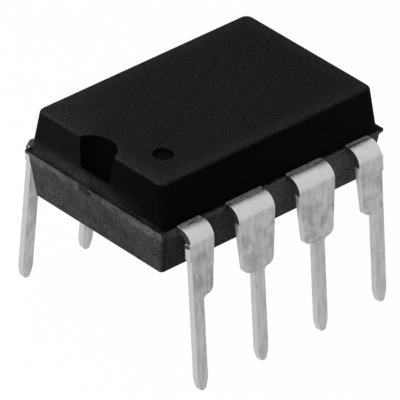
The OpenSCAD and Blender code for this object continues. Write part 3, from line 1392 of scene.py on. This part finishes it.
@dataclass
class Lead:
    """One stamped and bent lead, swept along its middle line.

    Args:
        number: Its number, counted round the body from the dot.
        x: Its place along the body.
        row: Its row.
        left: 1 if its shoulder reaches out to its left, seen from outside, or else 0.
        right: The same on its right.
        stub_left: How far the stub of the dam bar stands out on the left.
        stub_right: The same on the right.
    """

    number: int
    x: float
    row: Row
    left: float = 1.0
    right: float = 1.0
    stub_left: float = 0.0
    stub_right: float = 0.0
    body: MouldedBody = field(default_factory=MouldedBody)
    thickness: float = 0.25
    leg: float = 0.22
    bend_r: float = 0.50
    tip_span: float = 8.64
    splay: float = 5.2
    shoulder: float = 0.76
    shoulder_low: float = 0.62
    shoulder_z: float = 3.28
    shoulder_r: float = 0.23
    tip_h: float = 0.45
    tip: float = 0.10
    tip_r: float = 0.06
    taper_power: float = 1.5
    stub_z: float = 4.60
    stub_l: float = 0.62
    edge_r: float = 0.035
    buried: float = 0.35
    rows: int = 300
    corner: int = 4
    merge: float = 1e-4
    sharp_angle: float = 40.0

    @property
    def bend_z(self) -> float:
        """Return the height of the bend's centre."""
        return self.body.parting_z - self.bend_r

    def sizes(self) -> dict[str, float]:
        """Work out the tree's lengths.

        Returns:
            Their values in millimetres, by name.
        """
        lean = math.radians(self.splay)
        half = self.thickness / 2
        middle_r = self.bend_r - half
        middle_z = self.body.parting_z - half
        root = self.body.flange_y - self.buried
        flat = self.tip_span / 2 - self.bend_r * math.cos(lean) - root
        flat -= (self.bend_z + self.bend_r * math.sin(lean)) * math.tan(lean)
        drop = middle_z - middle_r * (1 - math.sin(lean)) - half * math.sin(lean)
        return {"Root": root, "Flat": flat, "Middle radius": middle_r, "Middle height": middle_z,
                "Leg length": drop / math.cos(lean), "Half thickness": half, "Leg": self.leg,
                "Shoulder": self.shoulder, "Shoulder low": self.shoulder_low,
                "Shoulder height": self.shoulder_z, "Shoulder radius": self.shoulder_r,
                "Bend height": self.bend_z, "Tip height": self.tip_h, "Tip": self.tip,
                "Tip radius": self.tip_r, "Edge radius": self.edge_r,
                "Stub height": self.stub_z, "Stub length": self.stub_l,
                "Stub left": self.stub_left, "Stub right": self.stub_right, "Place": self.x}

    def numbers(self) -> dict[str, float]:
        """Return the tree's plain numbers: its row, its shoulder's sides and its tip's form."""
        return {"Side": float(self.row.value), "Left": self.left, "Right": self.right,
                "Taper power": self.taper_power}

    def tree(self, material: Material) -> NodeTree:
        """Build the Geometry Nodes tree that sweeps any lead with this one's splay.

        Args:
            material: The tin plate.

        Returns:
            The tree.
        """
        inputs = [*self.sizes(), *self.numbers()]
        graph, size = new_tree("GeometryNodeTree", "Swept lead", inputs, ["Geometry"])
        sweep = Sweep(graph, size, math.radians(self.splay))
        columns = 4 * self.corner + 1
        last = float(self.rows - 2)
        grid = graph.add("GeometryNodeMeshGrid", {"Vertices X": self.rows, "Vertices Y": columns})
        index = Field(graph, graph.add("GeometryNodeInputIndex").outputs[0])
        row = graph.math("FLOOR", (index + 0.5) / float(columns))
        column = index - row * float(columns)
        inner = graph.hold(row, 1.0, last)
        between_caps = 1.0 - graph.math("GREATER_THAN", abs(row - inner), 0.5)
        out, height, angle = sweep.path((inner - 1.0) / (last - 1.0))
        across, proud = sweep.section(column, float(self.corner), height)
        across, proud = across * between_caps, proud * between_caps
        side = size["Side"]
        place = graph.place(size["Place"] - side * across,
                            side * (out + proud * graph.math("SINE", angle)),
                            height + proud * graph.math("COSINE", angle))
        swept = graph.add("GeometryNodeSetPosition", {"Geometry": grid.outputs[0],
                                                      "Position": place})
        merged = graph.add("GeometryNodeMergeByDistance", {"Geometry": swept.outputs[0],
                                                           "Distance": self.merge * MM})
        return end_geometry(graph, merged, material)

    def build(self, tree: NodeTree, material: Material) -> Object:
        """Build the lead and let it stand for its node.

        Args:
            tree: The tree that sweeps leads.
            material: The tin plate.

        Returns:
            The finished piece.
        """
        values = {key: value * MM for key, value in self.sizes().items()} | self.numbers()
        mesh = grown_mesh(f"lead_mesh_{self.number}", tree, values, self.sharp_angle)
        piece = new_object(f"plated_lead_{self.number}", mesh)
        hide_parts(f"lead_{self.number}")
        dress(piece, material)
        return piece


@dataclass
class LeadSet:
    """Both rows of leads, numbered round the body from the dot."""

    body: MouldedBody
    row_leads: int = 4
    pitch: float = PITCH
    stub: float = 0.06

    def lead(self, number: int) -> Lead:
        """Work out one lead, with its place and its shape.

        Args:
            number: Its number, from 1.

        Returns:
            The lead.
        """
        count = 2 * self.row_leads
        near = number <= self.row_leads
        place = number if near else count + 1 - number
        x = (place - (self.row_leads + 1) / 2) * self.pitch
        row = Row.NEAR if near else Row.FAR
        lead = Lead(number, x, row, body=self.body)
        at_end = place in (1, self.row_leads)
        if at_end and (x < 0) == near:
            lead.left, lead.stub_left = 0.0, self.stub
        elif at_end:
            lead.right, lead.stub_right = 0.0, self.stub
        return lead

    def build(self, finish: TinFinish, groups: SurfaceGroups) -> list[Object]:
        """Build all the leads.

        Args:
            finish: The tin plate.
            groups: The shared shader groups.

        Returns:
            The finished pieces.
        """
        leads = [self.lead(number) for number in range(1, 2 * self.row_leads + 1)]
        material = finish.material(leads[0], groups)
        tree = leads[0].tree(material)
        return [lead.build(tree, material) for lead in leads]


@dataclass
class InnerParts:
    """The pieces inside the moulding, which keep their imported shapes."""

    finishes: dict[str, InnerFinish] = field(default_factory=lambda: {
        "die_pad": InnerFinish("Bare copper alloy", (0.60, 0.36, 0.22), (0.45, 0.26, 0.16),
                               metallic=1.0, roughness=0.40, specular=0.03),
        "die_attach": InnerFinish("Silver glue", (0.50, 0.50, 0.47), (0.35, 0.35, 0.33),
                                  metallic=0.4, roughness=0.60),
        "die": InnerFinish("Polished silicon", (0.13, 0.14, 0.17), (0.10, 0.11, 0.14),
                           metallic=0.3, roughness=0.15, per_millimetre=4.0),
        "bond_wire": InnerFinish("Gold wire", (0.88, 0.65, 0.25), (0.80, 0.56, 0.18),
                                 metallic=1.0, roughness=0.22, per_millimetre=30.0),
    })

    def build(self, groups: SurfaceGroups) -> None:
        """Repaint each inner node.

        Args:
            groups: The shared shader groups.
        """
        for stem, finish in self.finishes.items():
            material = finish.material(groups)
            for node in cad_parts:
                if node.rstrip("_0123456789") == stem:
                    repaint(node, material)


@dataclass
class Studio:
    """Camera, pale floor, one soft lamp and even light from all round."""

    picture_px: float = 400.0
    focal_px: float = 6682.8
    azimuth: float = -42.652
    elevation: float = 32.837
    roll: float = 1.093
    distance: float = 210.49
    target: tuple[float, float, float] = (-0.138, 0.011, 3.368)
    clip: tuple[float, float] = (10.0, 10000.0)
    floor_size: float = 900.0
    paper: float = 0.9
    floor_glow: float = 0.98
    key_place: tuple[float, float, float] = (-52.0, 20.0, 38.0)
    key_size: float = 34.0
    key_power: float = 0.036
    sky: float = 0.42

    def back(self) -> Vector:
        """Return the direction from the target to the camera."""
        az, el = math.radians(self.azimuth), math.radians(self.elevation)
        return Vector((math.sin(az) * math.cos(el), -math.cos(az) * math.cos(el), math.sin(el)))

    def camera(self) -> None:
        """Create the camera at the photograph's viewing angle."""
        data = bpy.data.cameras.new("camera")
        data.sensor_fit = "HORIZONTAL"
        data.lens = data.sensor_width * self.focal_px / self.picture_px
        data.clip_start, data.clip_end = (limit * MM for limit in self.clip)
        camera = bpy.data.objects.new("camera", data)
        bpy.context.scene.collection.objects.link(camera)
        back = self.back()
        camera.rotation_euler = back.to_track_quat("Z", "Y").to_euler()
        camera.rotation_euler.rotate_axis("Z", math.radians(self.roll))
        camera.location = (Vector(self.target) + back * self.distance) * MM
        bpy.context.scene.camera = camera

    def show_white(self, graph: Graph) -> Field:
        """Pick out the rays that should see a white background.

        Args:
            graph: The tree under construction.

        Returns:
            1 for those rays, and 0 for the rest.
        """
        path = graph.add("ShaderNodeLightPath").outputs
        seen = graph.math("MAXIMUM", Field(graph, path["Is Camera Ray"]),
                          Field(graph, path["Is Glossy Ray"]))
        return graph.math("MAXIMUM", seen, Field(graph, path["Is Transmission Ray"]))

    def world(self) -> None:
        """Light the scene evenly from all round, and show white behind it."""
        world = bpy.data.worlds.new("studio")
        bpy.context.scene.world = world
        graph = cleared(world)
        light = graph.add("ShaderNodeBackground", {"Color": rgba(WHITE), "Strength": self.sky})
        white = graph.add("ShaderNodeBackground", {"Color": rgba(WHITE), "Strength": 1.0})
        both = graph.blend(self.show_white(graph), light, white)
        graph.add("ShaderNodeOutputWorld", {"Surface": both.outputs[0]})

    def floor(self) -> None:
        """Lay a pale floor that keeps a faint shadow of the object."""
        half = self.floor_size / 2
        corners = [Vector((x * half, y * half, 0)) for x, y in [(-1, -1), (1, -1), (1, 1), (-1, 1)]]
        floor = new_object("floor", mesh_from("floor", corners, [(0, 1, 2, 3)]))
        material = bpy.data.materials.new("Pale floor")
        graph = cleared(material)
        paper = graph.add("ShaderNodeBsdfDiffuse", {"Color": rgba((self.paper,) * 3)})
        glow = graph.add("ShaderNodeEmission", {"Color": rgba(WHITE), "Strength": 1.0})
        both = graph.blend(self.show_white(graph) * self.floor_glow, paper, glow)
        graph.add("ShaderNodeOutputMaterial", {"Surface": both.outputs[0]})
        floor.data.materials.append(material)

    def key_light(self) -> None:
        """Add a soft square lamp that faces the object."""
        data = bpy.data.lights.new("soft_key", "AREA")
        data.size = self.key_size * MM
        data.energy = self.key_power
        lamp = bpy.data.objects.new("soft_key", data)
        bpy.context.scene.collection.objects.link(lamp)
        place = Vector(self.key_place)
        lamp.location = place * MM
        lamp.rotation_euler = (place - Vector(self.target)).to_track_quat("Z", "Y").to_euler()

    def build(self) -> None:
        """Set up the whole studio."""
        self.camera()
        self.world()
        self.floor()
        self.key_light()
        bpy.context.scene.view_settings.view_transform = "Standard"


def main() -> None:
    """Build the package and its studio."""
    logging.basicConfig(level=logging.INFO, format="%(message)s")
    Studio().build()
    groups = SurfaceGroups()
    body = MouldedBody()
    compound = EpoxyFinish().material(body, groups)
    body.build(compound)
    Webs(body).build(compound)
    LeadSet(body).build(TinFinish(), groups)
    InnerParts().build(groups)


if __name__ == "__main__":
    main()
